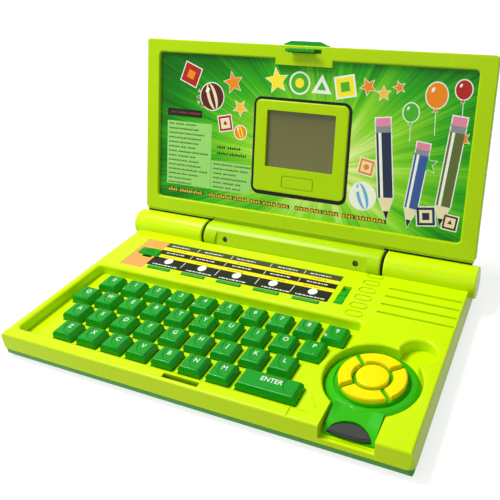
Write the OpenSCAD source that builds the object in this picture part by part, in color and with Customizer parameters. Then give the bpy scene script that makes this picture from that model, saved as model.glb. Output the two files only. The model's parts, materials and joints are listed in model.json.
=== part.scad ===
/* [Keys] */
// Distance from key to key along a row
key_pitch_x = 20.04; // [19:0.02:21]
// Distance from row to row
key_pitch_y = 18; // [17:0.1:19]
// Width of a key cap where it leaves the floor
key_w = 16; // [14:0.1:16.8]
// Depth of a key cap where it leaves the floor
key_d = 14.4; // [13:0.1:15]
// Width of the enter key
enter_w = 39.4; // [34:0.2:42]
// Height of a key cap above the floor of the well
key_rise = 5.6; // [5:0.1:6.5]
// How far the left and right sides of a key lean in
key_lean_x = 1.9; // [0.8:0.1:2.4]
// How far the front and rear sides of a key lean in
key_lean_y = 1.1; // [0.6:0.1:1.6]
// How far a key goes down
key_travel = 2.5; // [1.5:0.1:2.6]
// Gap between a key and its hole
key_gap = 0.35; // [0.25:0.05:0.45]
// Sideways shift of the letter rows, as a share of the key pitch
row_shift = 0.42; // [0.3:0.01:0.5]

/* [Base] */
// Width of the rail left of the key well
left_rail = 8; // [7:0.5:12]
// Depth of the rail in front of the key well
front_rail = 10.5; // [10:0.5:14]
// Room between the key well's left edge and the first key
well_left_room = 5.05; // [4:0.05:8]
// Room between the last key and the key well's right edge
well_right_room = 6.16; // [4:0.02:8]
// Room between the key well's front edge and the first row
well_front_room = 6.1; // [5:0.5:9]
// Room between the last row and the key well's rear edge
well_rear_room = 5.5; // [4:0.5:8]
// Width of the rail right of the controller
right_rail = 10; // [8:0.1:14]
// Depth of the deck behind the key well, up to the rear wall
deck_d = 77.5; // [75:0.5:90]
// Height of the rim that the base stands on, just inside its edge
foot_h = 1; // [0.8:0.1:2]
// Height of the lower shell, from its underside to the parting line
bottom_h = 7.5; // [7:0.5:12]
// Height of the upper shell, from the parting line to its top face
top_h = 11; // [10:0.5:14]
// Depth of the recesses that the keys and the controller stand in
well_depth = 8; // [7:0.5:8.5]
// Radius that rounds the rim of the key well
well_rim_r = 2.6; // [1:0.2:3.4]
// Wall thickness of the shells
wall = 2.2; // [1.8:0.1:2.6]
// How far the walls of the base lean in between parting line and top
draft = 2; // [1:0.25:3]
// Radius of the vertical corners of the base
corner_r = 5; // [3:0.5:8]

/* [Hinge] */
// Radius of the hinge barrels
barrel_r = 11.5; // [10.5:0.25:12.5]
// Length of each outer barrel, which belongs to the base
side_barrel = 66.9; // [60:0.5:75]
// Gap between the end faces of neighbouring barrels
barrel_gap = 1.6; // [1:0.1:2.5]
// Radius that rounds the barrels' meeting ends
barrel_edge = 1.8; // [0.5:0.1:2.5]
// Radius of the pin stubs that the lid turns on
pin_r = 4; // [3:0.25:5]
// Length of a pin stub inside its bore
pin_len = 10; // [7:0.5:14]
// Radial clearance of a pin stub in its bore
pin_clear = 0.06; // [0.04:0.01:0.09]
// Angle between the base and the lid as modelled
open_angle = 107.5; // [100:0.5:112]

/* [Lid] */
// How far the lid's sides stand in from the walls of the base
lid_inset = 1.5; // [1:0.25:4]
// Thickness of the lid's front shell
lid_front_t = 5; // [4.5:0.25:6]
// Thickness of the lid's back shell
lid_back_t = 4.5; // [4:0.25:6]
// Width of the lid's frame beside the picture recess
frame_side = 12; // [8:0.5:16]
// Width of the lid's frame above the picture recess
frame_top = 10; // [8:0.5:14]
// Width of the lid's frame below the picture recess
frame_bottom = 11.2; // [8:0.5:14]
// Depth of the picture recess in the lid
picture_depth = 2.5; // [2:0.1:2.8]
// Width of the raised surround of the display
surround_w = 77; // [69:1:90]
// Height of the raised surround of the display
surround_h = 71; // [64:1:78]
// Width of the display's window
glass_w = 57; // [50:0.5:63]
// Height of the display's window
glass_h = 43.6; // [38:0.2:48]

/* [Controller] */
// Radius of the round middle button
centre_r = 9.6; // [8.5:0.1:10.6]
// Width of the ring of arrow buttons
arc_w = 8.2; // [6:0.1:9]
// Width of the controller's shoulder round the buttons
shoulder = 7.4; // [6.5:0.1:9]
// Width of the controller's neck
neck_w = 29; // [26:0.2:31]
// Length from the middle of the buttons to the front wall
neck_len = 45.2; // [42:0.2:50]
// How far the controller's face tilts, its front side up
pad_tilt = 3; // [0:0.5:4]
// Gap between the controller and its well
ctrl_gap = 1.4; // [0.9:0.1:2]
// Width of the trigger
trigger_w = 24.6; // [21:0.2:25.4]
// Depth of the trigger behind its tips
trigger_d = 7.6; // [6:0.2:9]
// How far the front of the trigger bulges
trigger_bulge = 1.2; // [0.6:0.1:1.6]

/* [Slides, function keys and battery door] */
// Width of a function key
func_w = 20; // [16:0.5:24]
// Depth of a function key
func_d = 2.6; // [2.2:0.1:4]
// Distance between the function keys
func_pitch = 30.7; // [28:0.1:33]
// Distance from the key well's rear edge to the function keys
func_back = 9.5; // [8:0.25:12]
// Width of the mode switch's knob
mode_w = 19; // [16:0.5:22]
// Depth of the mode switch's knob
mode_d = 8; // [7:0.25:10]
// Way of the mode switch, to each side of its middle
mode_travel = 4; // [3:0.5:5]
// Width of the power switch's knob
power_w = 5.8; // [5:0.1:8]
// Length of the power switch's knob
power_l = 15.4; // [12:0.2:18]
// Way of the power switch
power_travel = 5; // [3:0.5:6]
// Width of the latch's grip
grip_w = 35.6; // [30:0.2:42]
// Width of the latch's hook
hook_w = 23.6; // [20:0.2:28]
// Way of the lid's latch
latch_travel = 3; // [2:0.25:4]
// Width of the battery door
door_w = 50; // [44:1:60]

/* [Hidden] */
LETTERS = ["0", "1", "2", "3", "4", "5", "6", "7", "8", "9",
           "q", "w", "e", "r", "t", "y", "u", "i", "o", "p",
           "a", "s", "d", "f", "g", "h", "j", "k", "l",
           "z", "x", "c", "v", "b", "n", "m"];
ROW_START = [0, 10, 20, 29, 36];                     // index of each row's first key
ROW_SHIFTS = [0, -row_shift, 0, row_shift];
KEYS = [for (i = [0:35]) str("key_", LETTERS[i])];
FUNCS = [for (i = [1:5]) str("function_key_", i)];
ARCS = ["pad_button_right", "pad_button_up", "pad_button_left", "pad_button_down"];

LIME = "#b5e61d";
LIME_LID = "#a4dc10";
GREEN = "#2f9e2f";
KEY_GREEN = "#12a01f";
PAD_GREEN = "#34b80a";
YELLOW = "#ffe800";
DARK_GREY = "#4a4a48";

eps = 0.01;
$fn = 48;

// The base grows out of its keys: key well, then rails, deck and controller zone round it.
// x = 0 and y = 0 are the middle of the base, z = 0 is what it stands on.
key_span = (9 + row_shift) * key_pitch_x + key_w;
well_w = key_span + well_left_room + well_right_room;
well_d = 3 * key_pitch_y + key_d + well_front_room + well_rear_room;
arc_in = centre_r + 2.4;
arc_out = arc_in + arc_w;
ctrl_r = arc_out + shoulder;
well_to_ctrl = -5.2;                 // the controller reaches this far into the key well's side
base_w = left_rail + well_w + well_to_ctrl + 2 * ctrl_r + right_rail;
base_d = front_rail + well_d + deck_d;
left_x = -base_w / 2;
right_x = base_w / 2;
front_y = -base_d / 2;
back_y = base_d / 2;
well_left = left_x + left_rail;
well_right = well_left + well_w;
well_front = front_y + front_rail;
well_rear = well_front + well_d;
well_x = (well_left + well_right) / 2;
well_y = (well_front + well_rear) / 2;
well_corner = 3;

split_z = foot_h + bottom_h;         // parting line of the two base shells
top_z = split_z + top_h;
plate_z = top_z - wall;              // underside of the top plate
floor_z = top_z - well_depth;        // floor of the wells
floor_t = 2;
under_z = floor_z - floor_t;
edge_r = 1.5;                        // rounding of the base's upper edges
step = 0.5;                          // the lower shell stands in a little from the upper one

hinge_y = back_y - barrel_r;
hinge_z = split_z + 0.5 + barrel_r;
hinge_dist = hinge_y - front_y;
hinge_rise = hinge_z - top_z;
barrel_x = right_x + 2;              // outer end faces of the barrels
side_barrel_x = barrel_x - side_barrel;
lid_barrel_x = side_barrel_x - barrel_gap;
trough_r = barrel_r + 0.6;           // the hollow that the lid's barrel turns in
trough_rear_z = split_z + 4.5;       // height of the lip behind it

ctrl_x = right_x - right_rail - ctrl_r;
ctrl_y = front_y + neck_len;
bulge_x = ctrl_x - 1.2;              // the key well stops at a bulge round the controller's well
bulge_y = ctrl_y - 5.2;
bulge_r = ctrl_r + 4.9;
scoop_r = 11;                        // finger scoop that opens into the controller's well
scoop_dist = ctrl_r + 7.6;
scoop_turn = 57;
scoop_x = ctrl_x + scoop_dist * cos(scoop_turn);
scoop_y = ctrl_y + scoop_dist * sin(scoop_turn);

key_x0 = well_left + well_left_room + key_w / 2 + row_shift * key_pitch_x;
key_y0 = well_front + well_front_room + key_d / 2;
flange = 0.5;                        // how far a key's flange reaches past its hole
flange_t = 1;
under_gap = 0.1;                     // between a flange at rest and the face above it

func_x0 = well_left + 47.8;
func_y = well_rear + func_back;
func_rise = 1;
func_travel = 1;
mode_x = well_left + 27.5;
mode_y = well_rear + 26.8;
power_x = well_right - 22.8;
power_y = well_rear + 23.2;
pill_x = well_right - 8.5;
pill_y = well_rear + 6.7;
pill_pitch = (deck_d - 32) / 5;
grille_x1 = well_right + 5;          // loudspeaker grooves, from here
grille_x2 = right_x - 3.2;           // to here
grille_y = well_rear + 13.7;
grille_pitch = 9.15;

latch_x = -1.2;
hook_t = 2.2;
hook_u = hinge_dist - 5.8;           // distance of the hook from the hinge axis
slot_play = 0.6;

board_z = foot_h + wall;
board_t = 1.6;
board_rear = func_y + 2;
sheet_t = 0.6;                       // rubber key membrane
nub_r = 3;
nub_h = 0.4;
speaker_y = grille_y + 1.5 * grille_pitch;
screw_r = 1.1;
post_r = 2.6;
door_t = 1.9;
bay_wall = 1;                        // wall of the battery box beside the door
bay_front = board_rear + 0.5;
bay_rear = hinge_y - trough_r - wall - 0.7;
bay_top = plate_z - 1.8;
door_y = (bay_front + bay_rear) / 2;
door_d = bay_rear - bay_front - 2 * bay_wall;
post_x = door_w / 2 + 11;
SCREWS = [[left_x + 42, front_y + 5.2], [latch_x + 51, front_y + 5.2], [right_x - 7, back_y - 106],
          [left_x + 12, back_y - 33], [-post_x, back_y - 33], [post_x, back_y - 33],
          [right_x - 12, back_y - 33]];
rim_in = 12;                         // the standing rim's distance from the edge
rim_w = 3;

function key_row(i) = i >= ROW_START[3] ? 3 : i >= ROW_START[2] ? 2 : i >= ROW_START[1] ? 1 : 0;
function key_x(i) = key_x0 + (i - ROW_START[key_row(i)] + ROW_SHIFTS[key_row(i)]) * key_pitch_x;
function key_y(i) = key_y0 + (3 - key_row(i)) * key_pitch_y;
enter_x = key_x(35) + key_pitch_x - key_w / 2 + enter_w / 2;

// ---- shapes ----

// A rectangle with round corners, centred
module round_rect(w, d, r) {
    offset(r = r) square([w - 2 * r, d - 2 * r], center = true);
}

// Corner points of a rounded rectangle at height z, with n steps round each corner
function ring(w, d, r, z, n) = [
    for (c = [0:3], k = [0:n]) let (
        a = 90 * c + 90 * k / n,
        cx = (c == 0 || c == 3 ? 1 : -1) * (w / 2 - r),
        cy = (c < 2 ? 1 : -1) * (d / 2 - r))
    [cx + r * cos(a), cy + r * sin(a), z]];

// A solid through rounded rectangles given as [width, depth, radius, z], lowest first
module loft(levels, n = 4) {
    m = 4 * (n + 1);
    points = [for (l = levels) each ring(l[0], l[1], l[2], l[3], n)];
    last = (len(levels) - 1) * m;
    polyhedron(points, concat(
        [[for (i = [0:m - 1]) i]],
        [for (l = [0:len(levels) - 2], i = [0:m - 1]) let (j = (i + 1) % m)
            each [[l * m + i, (l + 1) * m + i, l * m + j], [l * m + j, (l + 1) * m + i, (l + 1) * m + j]]],
        [[for (i = [m - 1:-1:0]) last + i]]));
}

// Side outline of a shallow pan: full length at its mouth (y = 0), sides leaning in to its
// closed face at y = h, where the edges are rounded
module pan_side(l, h, lean, edge) {
    offset(r = edge, $fn = 24) offset(delta = -edge)
        polygon([[-l / 2 - lean, -h], [l / 2 + lean, -h], [l / 2 - lean, h], [-l / 2 + lean, h]]);
}

// A solid pan, mouth down at z = 0, centred; its sides lean in by lean_x and lean_y
module pan(w, d, h, lean_x, lean_y, edge, corner) {
    intersection() {
        linear_extrude(h) round_rect(w, d, corner);
        rotate([90, 0, 90]) linear_extrude(w + 2, center = true) pan_side(d, h, lean_y, edge);
        rotate([90, 0, 0]) linear_extrude(d + 2, center = true) pan_side(w, h, lean_x, edge);
    }
}

// A long outline with half-round ends, lying along X
module pill(l, w) {
    square([l - w, w], center = true);
    for (s = [-1, 1]) translate([s * (l - w) / 2, 0]) circle(d = w);
}

// What rounds the rim of a round hole of radius r, its top face at z = 0
module round_rim(r, rim) {
    rotate_extrude() translate([r, -rim]) difference() {
        translate([-eps, 0]) square([rim + eps, rim + eps]);
        translate([rim, 0]) circle(r = rim);
    }
}

// A round bar along Z from z1 to z2, its end edges rounded by e1 and e2
module rounded_bar(z1, z2, r, e1, e2) {
    rotate_extrude($fn = 96) polygon(concat(
        [[0, z1]], [for (a = [0:22.5:90]) [r - e1 + e1 * sin(a), z1 + e1 - e1 * cos(a)]],
        [for (a = [0:22.5:90]) [r - e2 + e2 * cos(a), z2 - e2 + e2 * sin(a)]], [[0, z2]]));
}

// A cylinder along X from x1 to x2 on the hinge axis
module axis_cyl(x1, x2, r) {
    translate([x1, hinge_y, hinge_z]) rotate([0, 90, 0]) cylinder(r = r, h = x2 - x1);
}

// ---- base ----

module key_well_outline(grow = 0) {
    difference() {
        translate([well_x, well_y]) round_rect(well_w + 2 * grow, well_d + 2 * grow, well_corner + grow);
        translate([bulge_x, bulge_y]) circle(r = bulge_r - grow);
    }
}

module ctrl_well_outline(grow = 0) {
    w = neck_w + 2 * ctrl_gap + 2 * grow;
    translate([ctrl_x, ctrl_y]) circle(r = ctrl_r + ctrl_gap + grow);
    translate([scoop_x, scoop_y]) circle(r = scoop_r + grow);
    translate([ctrl_x - w / 2, front_y - 1]) square([w, neck_len]);
}

module key_hole(w) {
    translate([0, 0, under_z - 1]) linear_extrude(floor_t + 2)
        square([w + 2 * key_gap, key_d + 2 * key_gap], center = true);
}

module key_holes() {
    for (i = [0:35]) translate([key_x(i), key_y(i)]) key_hole(key_w);
    translate([enter_x, key_y0]) key_hole(enter_w);
}

module well_rim() {
    difference() {
        translate([well_x, well_y, top_z - well_rim_r]) loft([for (k = [0:4])
            let (a = 90 * k / 4, g = well_rim_r * (1 - cos(a)), h = well_rim_r * sin(a))
            [well_w + 2 * g, well_d + 2 * g, well_corner + g, k == 4 ? well_rim_r + eps : h]]);
        translate([bulge_x, bulge_y, 0]) cylinder(r = bulge_r, h = 2 * top_z);
    }
}

// An opening through the top plate at x, y
module plate_cut(x, y) {
    translate([x, y, plate_z - 1]) linear_extrude(wall + 2) children();
}

// A groove of the given depth in the top face at x, y
module top_groove(x, y, depth) {
    translate([x, y, top_z - depth]) linear_extrude(depth + 1) children();
}

module top_plate_cuts() {
    for (i = [0:4]) plate_cut(func_x0 + i * func_pitch, func_y)
        square([func_w + 0.5, func_d + 0.5], center = true);
    plate_cut(mode_x, mode_y) square([8.6, 4.6 + 2 * mode_travel], center = true);
    plate_cut(power_x, power_y)
        square([power_w + 0.6, power_l + power_travel + 0.6], center = true);
    // slot for the lid's hook
    plate_cut(latch_x + 0.3, hinge_y - hook_u)
        square([hook_w + 1.4, hook_t + 2 * slot_play], center = true);
    // loudspeaker grooves
    for (i = [0:3])
        top_groove((grille_x1 + grille_x2) / 2, grille_y + i * grille_pitch, 1.3)
        pill(grille_x2 - grille_x1, 1.6);
    // six blank pill outlines
    for (i = [0:5]) top_groove(pill_x, pill_y + i * pill_pitch, 0.8) difference() {
        pill(12.6, 6);
        pill(11.1, 4.5);
    }
    // seam across the front rail
    top_groove(well_right - 12.5, front_y + front_rail / 2, 0.5)
        square([0.7, front_rail - 3], center = true);
}

module base_top_shell() color(LIME) {
    difference() {
        union() {
            difference() {
                translate([0, 0, split_z]) pan(base_w, base_d, top_h, draft, draft, edge_r, corner_r);
                translate([0, 0, split_z - eps])
                    pan(base_w - 2 * wall, base_d - 2 * wall, top_h - wall + eps, draft, draft,
                        edge_r, corner_r - wall + 1);
            }
            // tubs of the two wells
            intersection() {
                translate([0, 0, under_z - 1]) linear_extrude(well_depth + floor_t)
                    square([base_w - 2 * draft - wall, base_d - 2 * draft - wall], center = true);
                translate([0, 0, under_z]) linear_extrude(well_depth + floor_t - 1) {
                    key_well_outline(wall);
                    ctrl_well_outline(wall);
                    translate([bulge_x, bulge_y]) circle(r = bulge_r);
                }
            }
            // front wall of the trough that the lid's barrel turns in
            intersection() {
                axis_cyl(-side_barrel_x - 1, side_barrel_x + 1, trough_r + wall);
                translate([0, 0, split_z]) linear_extrude(top_h - edge_r)
                    square([base_w - wall, base_d - wall], center = true);
            }
            for (s = [0, 1]) mirror([s, 0, 0]) translate([0, hinge_y, hinge_z]) rotate([0, 90, 0])
                rounded_bar(side_barrel_x, barrel_x, barrel_r, barrel_edge, 0.6);
            for (p = SCREWS) translate([p[0], p[1], split_z + 0.05])
                cylinder(r = post_r, h = top_h - 1);
        }
        // the trough, open behind
        axis_cyl(-side_barrel_x, side_barrel_x, trough_r);
        translate([-side_barrel_x, hinge_y, trough_rear_z])
            cube([2 * side_barrel_x, 2 * barrel_r, 2 * barrel_r]);
        // wells
        translate([0, 0, floor_z]) linear_extrude(well_depth + 1) {
            key_well_outline();
            ctrl_well_outline();
        }
        well_rim();
        translate([ctrl_x, ctrl_y, top_z]) round_rim(ctrl_r + ctrl_gap, 1.6);
        translate([scoop_x, scoop_y, top_z]) round_rim(scoop_r, 2);
        key_holes();
        top_plate_cuts();
        for (s = [0, 1]) mirror([s, 0, 0])
            axis_cyl(side_barrel_x - 1, side_barrel_x + pin_len + 0.5, pin_r + pin_clear);
        for (p = SCREWS) translate([p[0], p[1], split_z - 1])
            cylinder(r = screw_r, h = top_h - wall, $fn = 24);
    }
}

module base_bottom_shell() color(GREEN) {
    difference() {
        union() {
            difference() {
                translate([0, 0, split_z]) mirror([0, 0, 1])
                    pan(base_w - 2 * step, base_d - 2 * step, bottom_h, 1, 1, 4, corner_r);
                translate([0, 0, split_z + eps]) mirror([0, 0, 1])
                    pan(base_w - 2 * step - 2 * wall, base_d - 2 * step - 2 * wall,
                        bottom_h - wall + eps, 1, 1, 2.5, corner_r - 1);
            }
            // battery box
            translate([0, door_y, foot_h + 1]) linear_extrude(bay_top - foot_h - 1)
                square([door_w + 2 * bay_wall, door_d + 2 * bay_wall], center = true);
            for (p = SCREWS) translate([p[0], p[1], foot_h + 1])
                cylinder(r = post_r, h = bottom_h - 1);
            // rim that the base stands on
            linear_extrude(foot_h + 1) difference() {
                round_rect(base_w - 2 * rim_in, base_d - 2 * rim_in, 8);
                round_rect(base_w - 2 * rim_in - 2 * rim_w, base_d - 2 * rim_in - 2 * rim_w, 5);
            }
        }
        translate([0, door_y, foot_h - 1]) linear_extrude(door_t + 1.1)
            square([door_w, door_d], center = true);
        translate([0, door_y, foot_h]) linear_extrude(bay_top - foot_h - 1.5)
            square([door_w - 4, door_d - 4], center = true);
        for (p = SCREWS) translate([p[0], p[1], foot_h - 1]) {
            cylinder(r = screw_r + 0.4, h = bottom_h + 2, $fn = 24);
            cylinder(r = screw_r + 1, h = 3, $fn = 24);
        }
    }
}

module battery_door() color(GREEN) {
    gap = 0.25;
    translate([0, door_y, foot_h]) difference() {
        union() {
            linear_extrude(door_t) square([door_w - 2 * gap, door_d - 2 * gap], center = true);
            // ribs that steady the cells
            for (y = [-8, 8]) translate([-15, y - 0.6, door_t - eps]) cube([30, 1.2, 1.2]);
        }
        // grip ridges
        for (i = [0:4]) translate([0, -14 + 2.2 * i, -eps]) linear_extrude(0.6) pill(16, 1);
    }
}

module circuit_board() color("#1d6b38") {
    translate([0, 0, board_z]) {
        linear_extrude(board_t) difference() {
            translate([well_left + 1, well_front + 1.5]) square([well_w - 12, board_rear - well_front - 1.5]);
            for (p = SCREWS) translate(p) circle(r = post_r + 1);
        }
        // main chip, behind the membrane
        translate([well_left + 14, board_rear - 7, board_t - eps]) cube([14, 6, 1.2]);
        // loudspeaker
        translate([(grille_x1 + grille_x2) / 2, speaker_y, 0]) {
            cylinder(r = 9, h = 3);
            translate([0, 0, 3 - eps]) cylinder(r1 = 12, r2 = 18, h = 4);
        }
    }
}

module key_membrane() color("#d8d8d0") {
    translate([0, 0, board_z + board_t]) {
        linear_extrude(sheet_t) translate([well_left + 2, well_front + 2.5])
            square([well_w - 14, well_d]);
        for (i = [0:35]) translate([key_x(i), key_y(i), sheet_t - eps]) cylinder(r = nub_r, h = nub_h);
        translate([enter_x, key_y0, sheet_t - eps]) cylinder(r = nub_r, h = nub_h);
    }
}

// ---- keys ----

module key_cap(w) {
    straight = key_travel + 0.3;     // stays upright where it slides in its hole
    crown = key_rise - straight;
    difference() {
        union() {
            translate([0, 0, under_z - under_gap - flange_t]) linear_extrude(flange_t) square(
                [w + 2 * (key_gap + flange), key_d + 2 * (key_gap + flange)], center = true);
            translate([0, 0, under_z - under_gap - eps])
                linear_extrude(floor_t + under_gap + straight + 2 * eps)
                round_rect(w, key_d, 1);
            translate([0, 0, floor_z + straight])
                pan(w, key_d, crown, key_lean_x, key_lean_y, 0.7, 1);
        }
        // engraved arc round the legend
        translate([w / 2 - 3, key_d / 2 - 4.7, floor_z + key_rise - 0.3])
            linear_extrude(1) difference() {
                circle(r = 8.05);
                circle(r = 7.55);
            }
    }
}

module letter_key(i) color(KEY_GREEN) translate([key_x(i), key_y(i), 0]) key_cap(key_w);

module key_enter() color(KEY_GREEN) translate([enter_x, key_y0, 0]) key_cap(enter_w);

module function_key(i) color(KEY_GREEN) translate([func_x0 + i * func_pitch, func_y, 0]) {
    foot_z = board_z + board_t + sheet_t + nub_h + func_travel + 0.1;
    translate([0, 0, plate_z - under_gap - flange_t])
        linear_extrude(flange_t) square([func_w + 1.6, func_d + 1.6], center = true);
    translate([0, 0, plate_z - under_gap - eps])
        pan(func_w, func_d, wall + under_gap + func_rise, 0, 0, 0.5, 0.4);
    // plunger down to the board
    translate([-1.5, -1, foot_z]) cube([3, 2, plate_z - under_gap - flange_t - foot_z + eps]);
}

module mode_switch() color(KEY_GREEN) translate([mode_x, mode_y, 0]) {
    translate([0, 0, top_z + 0.15]) difference() {
        pan(mode_w, mode_d, 2.1, 0.8, 0.8, 0.7, 1);
        for (i = [-3:3]) translate([mode_w / 8 * i, 0, 1.7]) linear_extrude(1)
            square([0.9, mode_d + 1], center = true);
    }
    translate([0, 0, plate_z - 1.4]) linear_extrude(wall + 1.6) square([8, 4], center = true);
    translate([0, 0, plate_z - 1.4]) linear_extrude(1.25) square([12, 6], center = true);
}

module power_switch() color(KEY_GREEN)
translate([power_x, power_y - power_travel / 2, 0]) {
    translate([0, 0, plate_z - 0.15 - eps]) pan(power_w, power_l, wall, 0, 0, 0.5, 0.4);
    for (y = [-5, 3.5]) translate([0, y, top_z - 0.3]) pan(power_w, 3.4, 1, 0, 0, 0.5, 0.4);
    translate([0, power_travel / 2, plate_z - 1.3]) linear_extrude(1.15)
        square([power_w + 4, power_l + 2 * power_travel + 4], center = true);
}

// ---- hand controller ----

disc_z = floor_z + 0.1;              // underside of the controller
pad_z = top_z - 1;                   // middle of the face that the arrow buttons stand out of
pad_t = 1.6;
pad_top = top_z + 1.6;
pad_low = pad_z - pad_t - under_gap - flange_t;      // underside of the buttons' flanges
button_gap = 0.3;
arc_gap = 2.8;
groove_r = arc_out + 1.1;            // ring groove between the buttons and the shoulder
neck_y = groove_r + 1.5;             // where the neck begins, from the middle of the buttons
neck_front = front_y + 4.4;
tips_y = front_y + 5.3;              // the trigger's two tips
trigger_low = disc_z + 1.7;
trigger_top = top_z - 3.8;

// Stands children up on the controller's tilted face
module on_pad() {
    translate([ctrl_x, ctrl_y, pad_z]) rotate([-pad_tilt, 0, 0]) translate([0, 0, -pad_z]) children();
}

// Radius of an arc over a chord of width w that rises by h
function arc_radius(w, h) = (w * w / 4 + h * h) / (2 * h);

module trigger_outline(grow = 0) {
    back = arc_radius(trigger_w, trigger_d);
    front = arc_radius(trigger_w, trigger_bulge);
    translate([ctrl_x, tips_y]) intersection() {
        translate([0, trigger_d - back]) circle(r = back + grow, $fn = 64);
        translate([0, front - trigger_bulge]) circle(r = front + grow, $fn = 64);
    }
}

module arc_outline(grow = 0) {
    difference() {
        circle(r = arc_out + grow);
        circle(r = arc_in - grow);
        for (a = [-45, 45]) rotate(a) square([3 * arc_out, arc_gap - 2 * grow], center = true);
        rotate(45) translate([-1.5 * arc_out, -1.5 * arc_out]) square([1.5 * arc_out, 3 * arc_out]);
        rotate(-45) translate([-1.5 * arc_out, -1.5 * arc_out]) square([1.5 * arc_out, 3 * arc_out]);
    }
}

module controller_body() color(PAD_GREEN) difference() {
    union() {
        // round part, its face tilted and its underside flat
        intersection() {
            on_pad() rotate_extrude($fn = 96) polygon([
                [0, disc_z - 4], [ctrl_r, disc_z - 4], [ctrl_r, pad_z - 4],
                [ctrl_r - 0.8, pad_z - 2.9], [ctrl_r - 2.2, pad_z - 1.9], [ctrl_r - 4, pad_z - 1.3],
                [neck_y, pad_z - 1.2], [neck_y - 0.5, pad_z - 1.9], [groove_r + 0.2, pad_z - 1.9],
                [groove_r - 0.1, pad_z], [0, pad_z]]);
            translate([ctrl_x, ctrl_y, disc_z]) cylinder(r = 2 * ctrl_r, h = 2 * well_depth);
        }
        // neck, its top falling towards the front
        translate([ctrl_x, 0, 0]) rotate([90, 0, 90]) linear_extrude(neck_w, center = true) polygon([
            [neck_front, disc_z], [ctrl_y - neck_y, disc_z],
            [ctrl_y - neck_y, pad_z - 1.3 + neck_y * sin(pad_tilt)],
            [neck_front + 4.5, top_z - 3.6], [neck_front, disc_z + 1.2]]);
    }
    on_pad() {
        // room for the buttons' flanges
        translate([0, 0, disc_z + 2.2])
            cylinder(r = arc_out + flange_t, h = pad_z - pad_t - disc_z - 2.2);
        translate([0, 0, pad_z - pad_t - 1]) linear_extrude(5) {
            for (a = [0:90:270]) rotate(a) arc_outline(button_gap);
            circle(r = centre_r + button_gap);
        }
    }
    // the trigger's pocket, open in front under an arch
    translate([0, 0, disc_z + 0.6]) linear_extrude(20) trigger_outline(0.35);
}

module arc_button(i) color(YELLOW) on_pad() rotate(90 * i) {
    translate([0, 0, pad_low]) linear_extrude(flange_t) arc_outline(0.8);
    translate([0, 0, pad_low + flange_t - eps])
        linear_extrude(pad_top - pad_low - flange_t - 0.6 + eps) arc_outline();
    translate([0, 0, pad_top - 0.6 - eps]) linear_extrude(0.3 + eps) offset(delta = -0.2) arc_outline();
    translate([0, 0, pad_top - 0.3 - eps]) linear_extrude(0.3 + eps) offset(delta = -0.6) arc_outline();
}

module pad_button_centre() color(YELLOW) on_pad() {
    rotate_extrude($fn = 64) polygon([
        [0, pad_low], [centre_r + 0.8, pad_low], [centre_r + 0.8, pad_low + flange_t],
        [centre_r, pad_low + flange_t], [centre_r, pad_top - 0.5], [centre_r - 0.3, pad_top - 0.1],
        [centre_r - 1, pad_top + 0.15], [centre_r - 3, pad_top + 0.4], [0, pad_top + 0.5]]);
}

module controller_trigger() color(DARK_GREY) {
    translate([0, 0, trigger_low]) linear_extrude(trigger_top - trigger_low - 0.5) trigger_outline();
    translate([0, 0, trigger_top - 0.5 - eps]) linear_extrude(0.5 + eps)
        offset(delta = -0.4) trigger_outline();
}

// ---- lid ----
// Lid pieces are drawn flat: x across, y away from the hinge axis, z out of the picture side.

lid_w = base_w - 2 * lid_inset;
lid_face = hinge_rise - 0.4;         // picture side of the lid, 0.4 above the base when shut
lid_mid = lid_face - lid_front_t;    // joint between front and back shell
lid_back = lid_mid - lid_back_t;
lid_top = hinge_dist - 2;            // far edge of the lid
lid_bottom = barrel_r + 2.8;         // near edge of the lid
lid_h = lid_top - lid_bottom;
lid_y = (lid_top + lid_bottom) / 2;
lid_edge = 0.8;
picture_w = lid_w - 2 * frame_side;
picture_h = lid_h - frame_top - frame_bottom;
picture_y = lid_bottom + frame_bottom + picture_h / 2;
picture_z = lid_face - picture_depth;
picture_plate = 1.5;
surround_y = picture_y - 7;
surround_rise = 1.3;
glass_y = surround_y + 6;
window_depth = 2;                    // how far the display lies behind its surround's face
plaque_y = (glass_y - glass_h / 2 + surround_y - surround_h / 2) / 2 - 0.7;
tab_w = 46;
tab_h = 4.6;
latch_gap = 0.25;
latch_low = hook_u - hook_t / 2;
latch_z1 = lid_back + 2;             // the latch's slider, back and front
latch_z2 = lid_face - 2;
flat_tilt = 20;                      // how far the flat on the lid's barrel looks upwards
flat_in = 1.5;

module on_lid() {
    translate([0, hinge_y, hinge_z]) rotate([180 - open_angle, 0, 0]) children();
}

// the room that the slider of the latch needs, open at the lid's far edge
module latch_room() {
    translate([-grip_w / 2 - latch_gap, latch_low - latch_gap, latch_z1 - latch_gap])
        cube([grip_w + latch_travel + 2 * latch_gap, 30, latch_z2 - latch_z1 + 2 * latch_gap]);
}

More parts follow.
